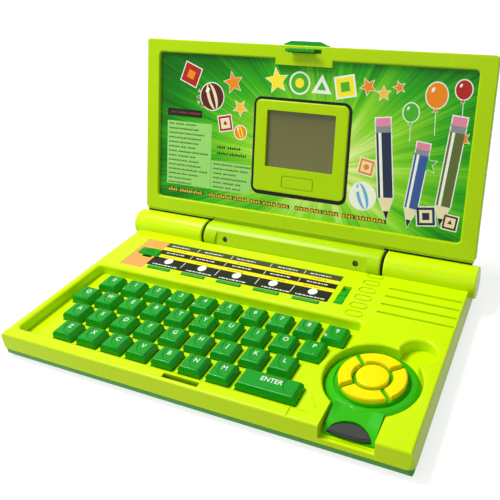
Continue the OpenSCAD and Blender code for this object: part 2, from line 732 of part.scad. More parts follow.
module lid_front_shell() color(LIME_LID) on_lid() {
    difference() {
        union() {
            difference() {
                translate([0, lid_y, lid_mid]) pan(lid_w, lid_h, lid_front_t, 0, 0, lid_edge, 3);
                // picture recess, its rim softened, with a tab at its top edge
                difference() {
                    translate([0, picture_y, 0]) loft([
                        [picture_w, picture_h, 3, picture_z],
                        [picture_w, picture_h, 3, lid_face - 1],
                        [picture_w + 0.6, picture_h + 0.6, 3.3, lid_face - 0.3],
                        [picture_w + 2, picture_h + 2, 4, lid_face + eps]]);
                    translate([-tab_w / 2, picture_y + picture_h / 2 - tab_h, picture_z - 1])
                        cube([tab_w, tab_h + 3, 10]);
                }
                // hollow behind
                translate([0, lid_y, lid_mid - eps])
                    linear_extrude(lid_front_t - picture_depth - picture_plate + eps)
                    round_rect(lid_w - 2 * wall, lid_h - 2 * wall, 2);
            }
            // display surround
            translate([0, surround_y, picture_z - eps])
                pan(surround_w, surround_h, surround_rise + eps, 0.4, 0.4, 0.8, 5);
            // the lid's barrel with its pin stubs, and the web that carries the lid
            rotate([0, 90, 0]) {
                rounded_bar(-lid_barrel_x, lid_barrel_x, barrel_r, barrel_edge, barrel_edge);
                cylinder(r = pin_r, h = 2 * (side_barrel_x + pin_len), center = true);
            }
            translate([-lid_barrel_x + 2, 0, lid_back])
                cube([2 * lid_barrel_x - 4, lid_bottom, lid_face - 2.1 - lid_back]);
            translate([-lid_barrel_x + 2, 0, lid_mid])
                cube([2 * lid_barrel_x - 4, lid_bottom + 1, lid_front_t - 2.1]);
        }
        rotate([0, 90, 0]) cylinder(r = barrel_r - wall - 0.8, h = 2 * (lid_barrel_x - wall), center = true);
        // flat on the front of the barrel, with one slanting end, and two screw pits
        rotate([open_angle - 180 - flat_tilt, 0, 0]) {
            rotate([90, 0, 0]) translate([0, 0, barrel_r - flat_in]) linear_extrude(5) polygon([
                [9.5 - lid_barrel_x, -barrel_r], [lid_barrel_x - 10.5, -barrel_r],
                [lid_barrel_x - 10.5, barrel_r], [13.5 - lid_barrel_x, barrel_r]]);
            for (x = [20 - lid_barrel_x, lid_barrel_x - 19.5])
                translate([x, 0, 0]) rotate([90, 0, 0]) cylinder(r = 2.3, h = 2 * barrel_r);
        }
        // display window
        translate([0, glass_y, picture_z - 5]) linear_extrude(10) round_rect(glass_w, glass_h, 1);
        // blank embossed outline below it
        translate([0, plaque_y, picture_z + surround_rise - 0.6]) linear_extrude(2) difference() {
            round_rect(27, 9.8, 2);
            round_rect(25.6, 8.4, 1.4);
        }
        latch_room();
        translate([latch_x - hook_w / 2 - 0.4, latch_low - 0.4, lid_face - 4])
            cube([hook_w + latch_travel + 0.8, hook_t + 0.8, 10]);
    }
}

module lid_back_shell() color(GREEN) on_lid() {
    difference() {
        translate([0, lid_y, lid_mid]) mirror([0, 0, 1])
            pan(lid_w, lid_h, lid_back_t, 0.6, 0.6, 2.5, 3);
        translate([0, lid_y, lid_mid + eps]) mirror([0, 0, 1])
            linear_extrude(lid_back_t - wall + eps)
            round_rect(lid_w - 2 * wall - 1, lid_h - 2 * wall - 1, 2);
        latch_room();
    }
}

module display() color("#6b6a3a") on_lid() {
    translate([0, glass_y, picture_z - picture_plate])
        linear_extrude(picture_plate + surround_rise - window_depth)
        round_rect(glass_w - 0.5, glass_h - 0.5, 0.8);
    translate([0, glass_y, lid_back + wall]) linear_extrude(lid_front_t - picture_depth - picture_plate
        + lid_back_t - wall) square([glass_w + 8, glass_h + 6], center = true);
}

module latch() color(KEY_GREEN) on_lid() {
    tip = lid_face + 4.9;            // how far the hook stands out of the lid
    ridge = 2.4;                     // distance between the grip's ribs
    translate([-grip_w / 2, latch_low, latch_z1]) cube([grip_w, lid_top - latch_low, latch_z2 - latch_z1]);
    // ribbed grip outside the lid's edge
    translate([0, 0, latch_z1]) linear_extrude(latch_z2 - latch_z1) polygon(concat(
        [[-grip_w / 2, lid_top - eps]],
        [[-grip_w / 2, lid_top + 0.8], [-11.5, lid_top + 3.3]],
        [for (i = [-3:3]) each [[ridge * i - 0.7, lid_top + 3.3], [ridge * i, lid_top + 2.6],
                                [ridge * i + 0.7, lid_top + 3.3]]],
        [[11.5, lid_top + 3.3], [grip_w / 2, lid_top + 0.8], [grip_w / 2, lid_top - eps]]));
    // hook: a neck and a wider foot
    translate([latch_x - hook_w / 2 + latch_travel, latch_low, latch_z2 - 1])
        cube([hook_w - 2 * latch_travel + 0.4, hook_t, tip - latch_z2 + 1]);
    translate([latch_x - hook_w / 2, latch_low, tip - 1.6]) cube([hook_w, hook_t, 1.6]);
}

base_top_shell();
base_bottom_shell();
battery_door();
circuit_board();
key_membrane();
lid_front_shell();
lid_back_shell();
display();
latch();
controller_body();
controller_trigger();
pad_button_centre();
for (i = [0:3]) arc_button(i);
mode_switch();
power_switch();
for (i = [0:4]) function_key(i);
for (i = [0:35]) letter_key(i);
key_enter();
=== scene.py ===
"""Looks of the toy laptop: plastics, printed card and labels, key legends, screws, light, camera.

Lengths are in mm wherever a piece is drawn, and become metres where Blender takes them.
"""

import json
import math

import bmesh
import bpy
from mathutils import Matrix, Vector


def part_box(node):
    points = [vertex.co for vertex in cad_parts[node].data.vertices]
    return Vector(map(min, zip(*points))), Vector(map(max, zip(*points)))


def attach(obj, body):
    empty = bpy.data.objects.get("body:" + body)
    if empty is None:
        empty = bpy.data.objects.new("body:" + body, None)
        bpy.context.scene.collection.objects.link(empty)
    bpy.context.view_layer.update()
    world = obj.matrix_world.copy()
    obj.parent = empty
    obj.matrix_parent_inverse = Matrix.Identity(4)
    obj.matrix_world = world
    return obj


MM = 0.001
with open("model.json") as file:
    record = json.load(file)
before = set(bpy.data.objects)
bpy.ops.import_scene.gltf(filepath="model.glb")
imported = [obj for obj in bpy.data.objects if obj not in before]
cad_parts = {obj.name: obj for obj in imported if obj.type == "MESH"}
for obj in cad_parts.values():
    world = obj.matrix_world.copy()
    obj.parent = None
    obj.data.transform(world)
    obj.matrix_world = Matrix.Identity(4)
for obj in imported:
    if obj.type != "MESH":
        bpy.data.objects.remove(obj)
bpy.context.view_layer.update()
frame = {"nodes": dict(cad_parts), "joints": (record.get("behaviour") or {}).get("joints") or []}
scene = bpy.context.scene

# ---------------------------------------------------------------- places taken from the frame

HINGE = next(j for j in frame["joints"] if j["name"] == "lid_hinge")
HINGE_AT = Vector(HINGE["pos_m"])
LID_TURN = math.radians(180 - HINGE["range_deg"][1])
# The lid's own plane: x across, y away from the hinge axis, z out of its picture side
LID_PLANE = Matrix.Translation(HINGE_AT) @ Matrix.Rotation(LID_TURN, 4, "X")
# The flat on the lid's barrel, and what the toy stands on, each with z pointing out of it
FLAT_LEAN = 70                       # degrees from level, towards the user
BARREL_FLAT = Matrix.Translation(HINGE_AT) @ Matrix.Rotation(math.radians(FLAT_LEAN), 4, "X")
UNDERSIDE = Matrix.Rotation(math.pi, 4, "X")
FUNCTION_KEY_RISE = 1.0              # that the function keys stand over the base's top
BASE_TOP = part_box("function_key_1")[1].z - FUNCTION_KEY_RISE * MM
FRONT_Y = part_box("base_top_shell")[0].y


def at_base(x, d, z=0.0):
    """A point on the base's top face in metres; x is from the middle and d from the front."""
    return Vector((x * MM, FRONT_Y + d * MM, BASE_TOP + z * MM))


def on_base(x, d, z=0.0):
    """The same point in mm."""
    return [c / MM for c in at_base(x, d, z)]


# ---------------------------------------------------------------- small helpers

CORNER_STEPS = 6                     # flat faces in a rounded corner
NEAR = 0.01 * MM                     # two heights closer than this are one


def only(obj):
    """Leaves one object selected and active."""
    bpy.ops.object.select_all(action="DESELECT")
    obj.select_set(True)
    bpy.context.view_layer.objects.active = obj


def place(obj, plane=None):
    """Moves a piece from the plane that it was drawn in, and writes its place into its mesh."""
    if plane is not None:
        bpy.context.view_layer.update()
        obj.matrix_world = plane @ obj.matrix_world
    only(obj)
    bpy.ops.object.transform_apply(location=True, rotation=True, scale=True)


def settle(obj, name, material, plane=None):
    """Puts a finished piece in its place, names it and gives it its one material."""
    place(obj, plane)
    obj.name = obj.data.name = name
    obj.data.materials.clear()
    obj.data.materials.append(material)
    return obj


def pick(obj, kind, test):
    """Selects the edges or verts of the mesh being edited that pass a test."""
    bpy.ops.mesh.select_mode(type={"edges": "EDGE", "verts": "VERT"}[kind])
    bpy.ops.mesh.select_all(action="DESELECT")
    mesh = bmesh.from_edit_mesh(obj.data)
    for item in getattr(mesh, kind):
        item.select_set(test(item))
    mesh.select_flush_mode()
    bmesh.update_edit_mesh(obj.data)


def upright(edge):
    """Whether an edge stands nearly straight up."""
    a, b = (v.co for v in edge.verts)
    return abs(a.z - b.z) > 0.9 * (a - b).length


def round_edges(obj, test, width, steps):
    """Bevels the edges of a piece that pass a test; the width is in mm."""
    only(obj)
    bpy.ops.object.mode_set(mode="EDIT")
    pick(obj, "edges", test)
    bpy.ops.mesh.bevel(offset=width * MM, segments=steps, affect="EDGES")
    bpy.ops.object.mode_set(mode="OBJECT")
    return obj


def turn_edges(obj, z, width, steps=3):
    """Rounds the edges of a piece that lie at a height."""
    def level(edge):
        return all(abs(v.co.z - z * MM) < NEAR for v in edge.verts)
    return round_edges(obj, level, width, steps)


def card(w, h, t, corner=0.0, at=(0, 0, 0)):
    """A flat plate with its underside at a point, and rounded corners."""
    x, y, z = (c * MM for c in at)
    bpy.ops.mesh.primitive_cube_add(size=1, location=(x, y, z + t * MM / 2),
                                    scale=(w * MM, h * MM, t * MM))
    obj = bpy.context.object
    bpy.ops.object.transform_apply(location=True, rotation=True, scale=True)
    if corner:
        round_edges(obj, upright, corner, CORNER_STEPS)
    return obj


def bar(sides, radius, long, at=(0, 0, 0), turn=(0, 0, 0)):
    """A bar of so many sides with its middle at a point, upright unless it is turned (radians)."""
    bpy.ops.mesh.primitive_cylinder_add(vertices=sides, radius=radius * MM, depth=long * MM,
                                        location=[c * MM for c in at], rotation=turn)
    obj = bpy.context.object
    bpy.ops.object.transform_apply(location=True, rotation=True, scale=True)
    return obj


def cut(obj, *tools):
    """Takes the tools' solids out of a piece and removes the tools."""
    for tool in tools:
        only(obj)
        m = obj.modifiers.new("cut", "BOOLEAN")
        m.operation = "DIFFERENCE"
        m.solver = "EXACT"
        m.object = tool
        bpy.ops.object.modifier_apply(modifier=m.name)
        bpy.data.objects.remove(tool)
    return obj


def join(objs):
    """One piece out of several, with their materials."""
    only(objs[0])
    for o in objs[1:]:
        o.select_set(True)
    if len(objs) > 1:
        bpy.ops.object.join()
    return bpy.context.object


# ---------------------------------------------------------------- materials

MOTTLE = 0.04                        # share by which a plastic's colour wanders
FLOW_SCALE = 28.0                    # flow marks about 36 mm apart
SCUFF_SCALE = 140.0                  # patches of duller gloss about 7 mm apart
SMOOTH, SCUFFED = -0.04, 0.08        # what such places add to a plastic's roughness
SKIN_DEPTH = 0.3                     # of the mould's skin at full strength
PAPER_SCALE = 900.0                  # the paper's tooth under an ink, about 1 mm: coarser than real
PLATING_SCALE = 1200.0               # clouds in the zinc plating, about 0.8 mm


def linear(hex_colour):
    """An sRGB hex colour as linear RGBA."""
    parts = [int(hex_colour[i:i + 2], 16) / 255 for i in (1, 3, 5)]
    return [c / 12.92 if c <= 0.04045 else ((c + 0.055) / 1.055) ** 2.4 for c in parts] + [1.0]


def toned(hex_colour, factor):
    """That colour made lighter or darker by a factor."""
    return [min(1.0, c * factor) for c in linear(hex_colour)[:3]] + [1.0]


def new_material(name):
    """A material; gives it with its tree and its shader."""
    mat = bpy.data.materials.new(name)
    mat.use_nodes = True
    tree = mat.node_tree
    return mat, tree, tree.nodes["Principled BSDF"]


def add(tree, kind, inputs=None, **settings):
    """Adds a node with its settings, and sets or links its inputs."""
    n = tree.nodes.new(kind)
    for key, value in settings.items():
        setattr(n, key, value)
    for key, value in (inputs or {}).items():
        if isinstance(value, bpy.types.NodeSocket):
            tree.links.new(value, n.inputs[key])
        else:
            n.inputs[key].default_value = value
    return n


def moulded_plastic(name, colour, rough=0.3, ior=1.53, grain=0.008, grain_mm=1.2, edge_mm=0.35,
                    specular=0.14):
    """Injection-moulded plastic: an even colour with faint flow marks, a gloss that scuffs break
    up a little, the mould's skin, drawn coarser than real so that it shows, and edges that catch
    the light."""
    mat, tree, shader = new_material(name)
    shader.inputs["IOR"].default_value = ior
    shader.inputs["Specular IOR Level"].default_value = specular
    where = add(tree, "ShaderNodeTexCoord").outputs["Object"]
    flow = add(tree, "ShaderNodeTexNoise", {"Vector": where, "Scale": FLOW_SCALE, "Detail": 3.0})
    tone = add(tree, "ShaderNodeMix", {
        "Factor": flow.outputs["Fac"],
        "A": toned(colour, 1 - MOTTLE), "B": toned(colour, 1 + MOTTLE),
    }, data_type="RGBA")
    tree.links.new(tone.outputs["Result"], shader.inputs["Base Color"])
    scuffs = add(tree, "ShaderNodeTexNoise", {
        "Vector": where, "Scale": SCUFF_SCALE, "Detail": 6.0, "Roughness": 0.7})
    shine = add(tree, "ShaderNodeMapRange", {
        "Value": scuffs.outputs["Fac"], "From Min": 0.35, "From Max": 0.7,
        "To Min": rough + SMOOTH, "To Max": rough + SCUFFED})
    tree.links.new(shine.outputs["Result"], shader.inputs["Roughness"])
    skin = add(tree, "ShaderNodeTexNoise", {
        "Vector": where, "Scale": 1000 / grain_mm, "Detail": 2.0})
    soft = add(tree, "ShaderNodeBevel", {"Radius": edge_mm * MM}, samples=4)
    bump = add(tree, "ShaderNodeBump", {
        "Height": skin.outputs["Fac"], "Normal": soft.outputs["Normal"],
        "Strength": grain, "Distance": SKIN_DEPTH * MM})
    tree.links.new(bump.outputs["Normal"], shader.inputs["Normal"])
    return mat


def ink(name, colour, rough=0.35):
    """Ink or printed film: a flat colour, a low sheen and a trace of what is under it."""
    mat, tree, shader = new_material(name)
    shader.inputs["IOR"].default_value = 1.48
    shader.inputs["Specular IOR Level"].default_value = 0.2
    shader.inputs["Roughness"].default_value = rough
    where = add(tree, "ShaderNodeTexCoord").outputs["Object"]
    tooth = add(tree, "ShaderNodeTexNoise", {"Vector": where, "Scale": PAPER_SCALE, "Detail": 1.0})
    tone = add(tree, "ShaderNodeMix", {
        "Factor": tooth.outputs["Fac"], "A": toned(colour, 0.92), "B": linear(colour),
    }, data_type="RGBA")
    tree.links.new(tone.outputs["Result"], shader.inputs["Base Color"])
    return mat


def display_glass():
    """A reflective liquid crystal panel behind its polariser: olive grey and smooth, a little
    lighter at its foot and darker towards its top; the darker top is painted shade of the recess's
    upper wall."""
    mat, tree, shader = new_material("liquid_crystal_panel_olive")
    shader.inputs["Roughness"].default_value = 0.12
    shader.inputs["IOR"].default_value = 1.5
    where = add(tree, "ShaderNodeTexCoord").outputs["Object"]
    height = add(tree, "ShaderNodeSeparateXYZ", {"Vector": where}).outputs["Z"]
    low, high = (b.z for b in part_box("display"))
    fade = add(tree, "ShaderNodeMapRange", {"Value": height, "From Min": low, "From Max": high})
    # Darker towards the top: painted shade of the recess's upper wall
    tone = add(tree, "ShaderNodeMix", {
        "Factor": fade.outputs["Result"], "A": linear("#6E6C38"), "B": linear("#5E5C26"),
    }, data_type="RGBA")
    tree.links.new(tone.outputs["Result"], shader.inputs["Base Color"])
    return mat


def zinc():
    """Zinc-plated steel: a grey metal whose plating is rough and slightly cloudy."""
    mat, tree, shader = new_material("zinc_plated_steel")
    shader.inputs["Metallic"].default_value = 1.0
    where = add(tree, "ShaderNodeTexCoord").outputs["Object"]
    cloud = add(tree, "ShaderNodeTexNoise", {
        "Vector": where, "Scale": PLATING_SCALE, "Detail": 2.0})
    tone = add(tree, "ShaderNodeMix", {
        "Factor": cloud.outputs["Fac"], "A": linear("#3A3C3E"), "B": linear("#707274"),
    }, data_type="RGBA")
    tree.links.new(tone.outputs["Result"], shader.inputs["Base Color"])
    shine = add(tree, "ShaderNodeMapRange", {
        "Value": cloud.outputs["Fac"], "To Min": 0.28, "To Max": 0.5})
    tree.links.new(shine.outputs["Result"], shader.inputs["Roughness"])
    return mat


# Glossy ABS in the shells' lime; only faint flow marks and scuffs break the gloss. The lid's copy
# is the same lime made darker: painted shade of the lid's face, which turns away from the overhead
# light
LIME = moulded_plastic("abs_lime_glossy", "#CAEC00", rough=0.22)
LIME_LID_SHADED = moulded_plastic("abs_lid_lime_glossy", "#B0D600", rough=0.22)
# Satin ABS of the lower shell and the lid's back, with a fine skin from the mould
GREEN = moulded_plastic("abs_mid_green_satin", "#3C9A2C", rough=0.36, grain=0.04)
# Polished ABS of what the fingers press or push, with bright edges
KEY_GREEN = moulded_plastic("abs_key_green_glossy", "#08961A", rough=0.13, edge_mm=0.5,
                            specular=0.2)
KNOB_GREEN = moulded_plastic("abs_knob_green_glossy", "#14A818", rough=0.16, edge_mm=0.4,
                             specular=0.2)
PAD_GREEN = moulded_plastic("abs_grass_green_glossy", "#2FB400", rough=0.16)
# Satin ABS of the pad's buttons: broad soft highlights and rounded edges
YELLOW = moulded_plastic("abs_yellow_satin", "#FFE600", rough=0.38, edge_mm=0.5)
# Spark-eroded mould: a fine even grain that dulls the dark trigger
DARK_GREY = moulded_plastic("abs_dark_grey_fine_grain", "#3E403E", rough=0.42, grain=0.12,
                            grain_mm=0.5)
# Silicone rubber, matt and milky; and a nearly black matt material that is painted shade, for the
# dark gaps: the parting line, the lid's gap strips and the barrel washers
RUBBER = moulded_plastic("silicone_off_white", "#D8D8CC", rough=0.7, ior=1.41)
GAP_SHADE = moulded_plastic("foam_strip_black_green", "#182204", rough=0.8, ior=1.45)
# Lacquer over green gives the circuit board an even gloss
BOARD = moulded_plastic("lacquered_board_green", "#1B6B36", rough=0.3)
# Pad-printed legends are flat and opaque; the screen-printed band is a little glossier
WHITE_INK = ink("pad_print_white", "#F4F6F0")
BLACK_INK = ink("screen_print_black", "#14180E", rough=0.25)
DISPLAY = display_glass()
ZINC = zinc()

FINISHES = {
    "base_top_shell": LIME, "base_bottom_shell": GREEN, "battery_door": GREEN,
    "circuit_board": BOARD, "key_membrane": RUBBER, "lid_front_shell": LIME_LID_SHADED,
    "lid_back_shell": GREEN, "display": DISPLAY, "controller_body": PAD_GREEN,
    "controller_trigger": DARK_GREY, "mode_switch": KNOB_GREEN, "power_switch": KNOB_GREEN,
}
for name, obj in frame["nodes"].items():
    finish = FINISHES.get(name, YELLOW if name.startswith("pad_button") else KEY_GREEN)
    obj.data.materials.clear()
    obj.data.materials.append(finish)
    only(obj)
    bpy.ops.object.shade_smooth_by_angle(angle=math.radians(25))


# ---------------------------------------------------------------- printed card in the lid

PICTURE_Z = -1.9                     # floor of the lid's recess, in the lid's plane
CARD_T = 0.12                        # thickness of the printed card
CARD_TOP = PICTURE_Z + CARD_T
LAYER = 0.02                         # one layer of the print; faces this far apart don't flicker
INTO_CARD = 0.05                     # that a printed shape reaches into the card
WAIST = 0.45                         # of a star's notches, as a share of its points' reach
STREAKS_FROM = (0.022, 0.066)        # where the streaks run out from on the lid, in metres
# Shapes in the lid's plane: width, height, corner, and the middle's distance from the hinge axis
CARD = (256.4, 118.4, 3.0, 85.0)
LATCH_NOTCH = (46.8, 10.0, 0.0, 145.0)
SURROUND = (76.6, 70.6, 5.0, 78.0)
BAND = (81.2, 76.0, 6.5, 77.6)


def card_print():
    """Offset print on glossy card: pale green in the middle, dark at the edges, fine streaks."""
    mat, tree, shader = new_material("offset_printed_card_green")
    shader.inputs["Specular IOR Level"].default_value = 0.15
    shader.inputs["Roughness"].default_value = 0.32
    shader.inputs["IOR"].default_value = 1.5
    where = add(tree, "ShaderNodeTexCoord").outputs["Object"]
    flat = add(tree, "ShaderNodeMapping", {
        "Vector": where, "Location": HINGE_AT, "Rotation": (LID_TURN, 0, 0),
    }, vector_type="TEXTURE").outputs["Vector"]
    spoke = add(tree, "ShaderNodeVectorMath", {0: flat, 1: (*STREAKS_FROM, 0)},
                operation="SUBTRACT").outputs[0]
    spoke = add(tree, "ShaderNodeVectorMath", {0: spoke, 1: (1, 1.5, 0)},
                operation="MULTIPLY").outputs[0]
    reach = add(tree, "ShaderNodeVectorMath", {0: spoke}, operation="LENGTH").outputs["Value"]
    heading = add(tree, "ShaderNodeVectorMath", {0: spoke}, operation="NORMALIZE").outputs[0]
    broad = add(tree, "ShaderNodeTexNoise", {"Vector": heading, "Scale": 5.0, "Detail": 1.0})
    fine = add(tree, "ShaderNodeTexNoise", {
        "Vector": heading, "Scale": 34.0, "Detail": 3.0, "Roughness": 0.75})
    streaks = add(tree, "ShaderNodeMix", {
        "Factor": 0.5, "A": broad.outputs["Fac"], "B": fine.outputs["Fac"]})
    fall = add(tree, "ShaderNodeMapRange", {
        "Value": reach, "From Min": 0.02, "From Max": 0.17, "To Min": 0.42, "To Max": -0.22})
    light = add(tree, "ShaderNodeMath", {
        0: streaks.outputs["Result"], 1: fall.outputs["Result"]}, operation="ADD")
    ramp = add(tree, "ShaderNodeValToRGB", {"Fac": light.outputs["Value"]})
    stops = ramp.color_ramp.elements
    stops[0].position, stops[0].color = 0.16, linear("#0A4A0E")
    stops[1].position, stops[1].color = 0.98, linear("#F2F8A4")
    for spot, colour in ((0.38, "#14780F"), (0.54, "#34A81A"), (0.76, "#90D82C")):
        stops.new(spot).color = linear(colour)
    tree.links.new(ramp.outputs["Color"], shader.inputs["Base Color"])
    return mat


def lid_plate(shape, z, t, tight=0.0):
    """A plate of one of these shapes with its underside at a height."""
    w, h, corner, middle = shape
    return card(w - tight, h - tight, t, corner, (0, middle, z))


def lid_hole(shape, tight=0.0):
    """The solid that cuts one of these shapes through the card."""
    return lid_plate(shape, PICTURE_Z - 1, 2, tight)


def lid_card():
    """The printed card in the lid's recess."""
    plate = lid_plate(CARD, PICTURE_Z, CARD_T)
    cut(plate, lid_hole(SURROUND), lid_hole(LATCH_NOTCH))
    return settle(plate, "lid_print_card", card_print(), LID_PLANE)


def lid_outline():
    """The black band printed round the display's surround."""
    band = lid_plate(BAND, PICTURE_Z + LAYER / 2, CARD_T + LAYER)
    cut(band, lid_hole(SURROUND, LAYER))
    return settle(band, "display_outline", BLACK_INK, LID_PLANE)


PRINT_COLOURS = {
    "white": "#F6F8EC", "black": "#161A14", "night": "#26304C", "blue": "#3C5AA0",
    "sky": "#6CB4E0", "red": "#B0281E", "maroon": "#5A2018", "orange": "#F08A1C",
    "amber": "#FFC23C", "yellow": "#FFEA30", "cream": "#F2E2BC", "olive": "#5E6A34",
    "leaf": "#46B428", "mint": "#9CDA72", "pink": "#E88AA8", "grey": "#8A9090",
    "pine": "#18400E", "rose": "#A04040",
}
INKS = {}


def print_ink(colour):
    """The card's ink of a colour, made once."""
    if colour not in INKS:
        INKS[colour] = ink("offset_print_" + colour, PRINT_COLOURS[colour])
    return INKS[colour]


def blot(pieces, sides, x, u, rx, ry, colour, layer=2, turn=0.0, rim=0.8):
    """One printed shape at x, u: a disc, box or triangle, with a white rim one layer down."""
    if rim:
        blot(pieces, sides, x, u, rx + rim, ry + rim, "white", 1, turn, 0)
    top = CARD_TOP + LAYER * layer
    thick = LAYER * layer + INTO_CARD
    # A box stands on a side and not on a corner, and its rx and ry are half its sides
    phase = math.pi / 4 if sides == 4 else 0.0
    spread = math.sqrt(2) if sides == 4 else 1.0
    bpy.ops.mesh.primitive_cylinder_add(vertices=sides, radius=spread * MM, depth=MM,
                                        rotation=(0, 0, phase))
    obj = bpy.context.object
    bpy.ops.object.transform_apply(location=False, rotation=True, scale=False)
    obj.scale = (rx, ry, thick)
    obj.rotation_euler.z = math.radians(turn)
    obj.location = (x * MM, u * MM, (top - thick / 2) * MM)
    obj.data.materials.append(print_ink(colour))
    pieces.append(obj)
    return obj


def star(pieces, x, u, r, colour, turn=0.0):
    """A five-pointed star over a white one."""
    step = math.pi / 5
    for grow, ink_name, layer in ((0.9, "white", 1), (0, colour, 2)):
        obj = blot(pieces, 10, x, u, r + grow, r + grow, ink_name, layer, turn, 0)
        only(obj)
        bpy.ops.object.mode_set(mode="EDIT")
        pick(obj, "verts", lambda v: round(math.atan2(v.co.x, v.co.y) / step) % 2 == 1)
        bpy.ops.transform.resize(value=(WAIST, WAIST, 1), center_override=obj.location)
        bpy.ops.object.mode_set(mode="OBJECT")


def turned(x, u, dx, du, turn):
    """A point dx along and du up a motif that stands at x, u and is turned."""
    a = math.radians(turn)
    return x + dx * math.cos(a) - du * math.sin(a), u + dx * math.sin(a) + du * math.cos(a)


def pencil(pieces, x, u, long, wide, body, turn=0.0):
    """A pencil that stands on its tip at x, u."""
    tip, ferrule, rubber = 1.5 * wide, long * 0.86, long * 0.92
    parts = ((tip, ferrule, body), (ferrule, rubber, "grey"), (rubber, long, "pink"))
    for low, high, colour in parts:
        px, pu = turned(x, u, 0, (low + high) / 2, turn)
        blot(pieces, 4, px, pu, wide / 2, (high - low) / 2, colour, 3, turn, 0.8)
    px, pu = turned(x, u, -wide / 4, (tip + ferrule) / 2, turn)
    blot(pieces, 4, px, pu, wide / 10, (ferrule - tip) / 2, "white", 4, turn, 0)
    for reach, colour, layer, rim in ((1.0, "cream", 3, 0.8), (0.4, "black", 4, 0)):
        px, pu = turned(x, u, 0, tip * reach * 0.66, turn)
        blot(pieces, 3, px, pu, wide / 2 * 1.15 * reach, tip * reach * 0.66, colour, layer,
             turn + 180, rim)


def ball(pieces, x, u, r, colour, stripe):
    """A ball with a two-colour stripe and a spot of shine."""
    blot(pieces, 48, x, u, r, r, colour, 3)
    blot(pieces, 48, x, u, r * 0.42, r, stripe, 4, 20, 0)
    blot(pieces, 48, x, u, r * 0.16, r, colour, 5, 20, 0)
    blot(pieces, 32, x - r * 0.4, u + r * 0.45, r * 0.14, r * 0.22, "white", 6, -40, 0)


def kite(pieces, x, u, size, colour, second, turn=0.0):
    """A square kite on its corner, with four bows on its tail."""
    blot(pieces, 4, x, u, size * 0.6, size * 0.6, colour, 3, turn + 45)
    blot(pieces, 4, x, u, size * 0.26, size * 0.26, second, 4, turn + 45, 0)
    for k in range(1, 5):
        sway, down = math.sin(k * 1.7) * size * 0.18, size * (0.85 + 0.32 * k)
        px, pu = turned(x, u, sway, -down, turn)
        blot(pieces, 3, px, pu, size * 0.13, size * 0.1, second if k % 2 else colour, 3,
             turn + 90 * k, 0.5)


def toy_block(pieces, x, u, size, colour, mark, turn=0.0):
    """A toy block that shows a shape of so many sides."""
    blot(pieces, 4, x, u, size / 2, size / 2, colour, 3, turn)
    blot(pieces, 4, x, u, size * 0.36, size * 0.36, "cream", 4, turn, 0)
    blot(pieces, mark, x, u, size * 0.2, size * 0.2, colour, 5, turn, 0)


def balloon(pieces, x, u, r, colour):
    """A balloon with its knot, its string and a spot of shine."""
    blot(pieces, 4, x + 0.6, u - r * 2.1, 0.25, r * 1.1, "white", 2, 3, 0)
    blot(pieces, 3, x, u - r * 1.22, r * 0.22, r * 0.22, colour, 3, 0, 0.5)
    blot(pieces, 48, x, u, r * 0.86, r, colour, 3)
    blot(pieces, 32, x - r * 0.34, u + r * 0.42, r * 0.12, r * 0.22, "white", 4, -25, 0)


def mark_row(pieces, x, u, count, step, w, h, colour, layer):
    """A row of small equal marks that starts at x."""
    obj = blot(pieces, 4, x + w / 2, u, w / 2, h / 2, colour, layer, 0, 0)
    rows = obj.modifiers.new("marks", "ARRAY")
    rows.count = count
    rows.relative_offset_displace = (step / w, 0, 0)
    only(obj)
    bpy.ops.object.modifier_apply(modifier=rows.name)


def word(pieces, x, u, length, size, colour, layer=3):
    """Meaningless marks of two heights that stand for a word; gives where the next word starts."""
    step = 0.78 * size
    count = max(2, round(length / step))
    mark_row(pieces, x, u, count, step, 0.52 * size, 0.62 * size, colour, layer)
    mark_row(pieces, x + step, u + 0.16 * size, (count + 1) // 2, 2 * step, 0.24 * size,
             0.95 * size, colour, layer)
    return x + count * step + 0.7 * size


def ruled_lines(pieces, x, u_top, lengths, pitch, size, colour, words=3):
    """Lines of such words, of about the given lengths."""
    for i, length in enumerate(lengths):
        left = x
        for k in range(words):
            reach = length * (0.22 + 0.12 * ((i + k) % 3)) * 3 / words
            left = word(pieces, left, u_top - i * pitch, reach, size, colour)


def panels_of_print(p):
    """Two pale panels, a dark one and the lines of marks on and near them."""
    blot(p, 4, -99.8, 63.6, 21.4, 26.3, "mint", 2, 0, 0)
    blot(p, 4, -59.7, 49.1, 18.3, 11.9, "mint", 2, 0, 0)
    ruled_lines(p, -119.5, 87.5, [24, 27, 33, 28, 26, 22, 34, 22, 26, 28, 35, 27, 21, 20],
                3.75, 1.7, "pine")
    ruled_lines(p, -76.0, 58.4, [32, 29, 18, 28, 24, 22], 3.75, 1.7, "pine")
    ruled_lines(p, -73.0, 72.3, [24, 20], 5.0, 2.6, "black", 2)
    blot(p, 4, -104.6, 97.0, 16.6, 3.0, "black", 2, 0, 0)
    ruled_lines(p, -118.0, 97.0, [24], 4, 1.9, "rose")


def row_of_shapes(p):
    """Plain shapes over the display."""
    star(p, -22, 128, 9.6, "yellow", 10)
    blot(p, 48, -3.0, 127.5, 7.2, 7.2, "leaf", 3, 0, 1.4)
    blot(p, 48, -3.0, 127.5, 3.6, 3.6, "yellow", 4, 0, 0)
    blot(p, 3, 15, 125.6, 8.2, 8.2, "white", 3, 0, 1.2)
    blot(p, 3, 15, 125.6, 4.2, 4.2, "leaf", 4, 0, 0)
    blot(p, 4, 33.5, 127.2, 6.8, 6.8, "yellow", 3, 12, 1.3)
    blot(p, 4, 33.5, 127.2, 3.4, 3.4, "leaf", 4, 12, 0)
    star(p, 51, 128.5, 6.2, "orange", 30)
    star(p, 63, 124.5, 5.2, "amber", 5)
    star(p, 74, 129.5, 4.4, "orange", 20)


